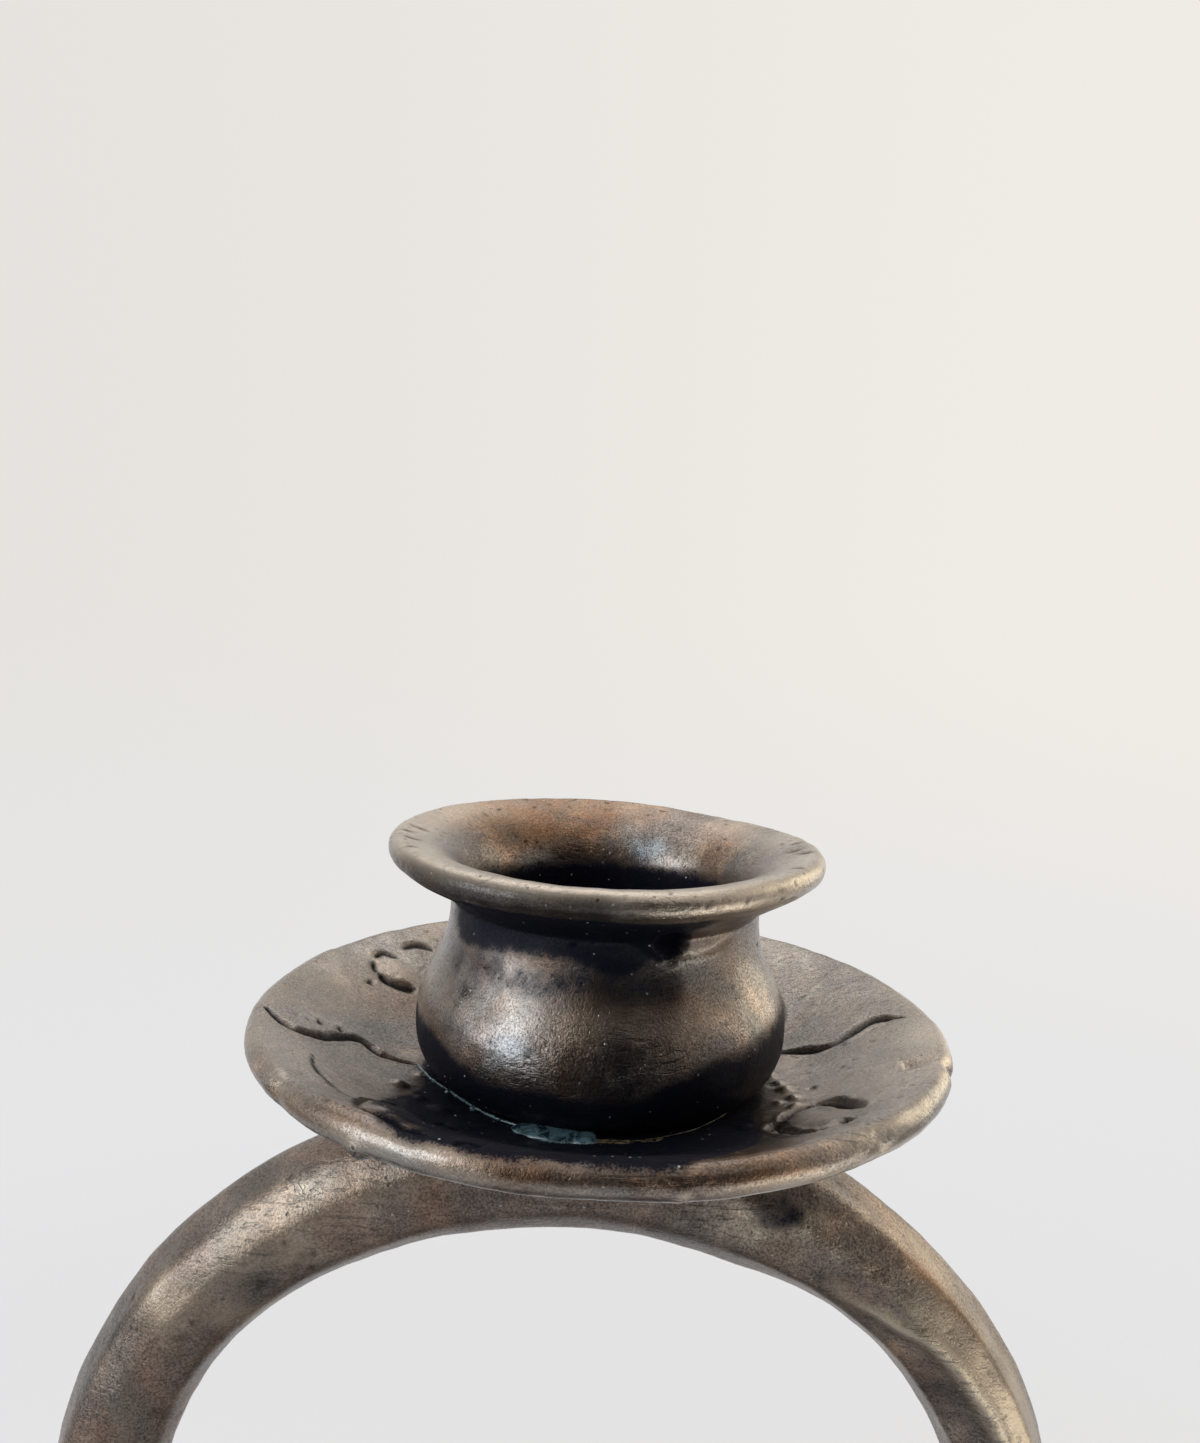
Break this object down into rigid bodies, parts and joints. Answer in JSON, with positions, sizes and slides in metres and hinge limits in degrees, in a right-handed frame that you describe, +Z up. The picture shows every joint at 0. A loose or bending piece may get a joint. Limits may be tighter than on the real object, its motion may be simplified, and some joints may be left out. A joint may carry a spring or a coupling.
{
  "type": "candelabra",
  "caption": "Bronze candelabra with a round domed foot, curved side arms and a central oval hoop, each carrying a dished drip pan and a flared cup for a dinner candle.",
  "frame": {"origin": "middle of the underside of the felt ring, on the axis of stem and hoop", "axes": "+Z up; +X to the right along the two side arms; the picture looks along +Y"},
  "size_m": [0.2754, 0.136, 0.2282],
  "materials": {
    "cast_bronze": "dark brown patina, satin, worn edges",
    "forged_bronze": "hand-forged, brown patina, satin",
    "turned_bronze": "turned, brown patina, satin",
    "brass": "aged brass",
    "steel": "plain zinc-plated steel",
    "felt": "dense wool felt"
  },
  "bodies": {
    "root": {"felt_ring": "felt", "base": "cast_bronze", "base_washer": "steel", "base_nut": "steel", "tie_rod": "steel", "foot_collar": "turned_bronze", "stem_shaft": "forged_bronze", "stem_knop": "turned_bronze", "hub": "cast_bronze", "hoop": "forged_bronze", "finial_nut": "turned_bronze", "arm_right": "forged_bronze", "arm_left": "forged_bronze", "arm_pin_right": "steel", "arm_pin_left": "steel", "saddle_center": "turned_bronze", "seat_right": "turned_bronze", "seat_left": "turned_bronze", "pan_center": "cast_bronze", "cup_center": "cast_bronze", "cup_washer_center": "brass", "cup_screw_center": "brass", "pan_right": "cast_bronze", "cup_right": "cast_bronze", "cup_washer_right": "brass", "cup_screw_right": "brass", "pan_left": "cast_bronze", "cup_left": "cast_bronze", "cup_washer_left": "brass", "cup_screw_left": "brass"}
  },
  "joints": []
}
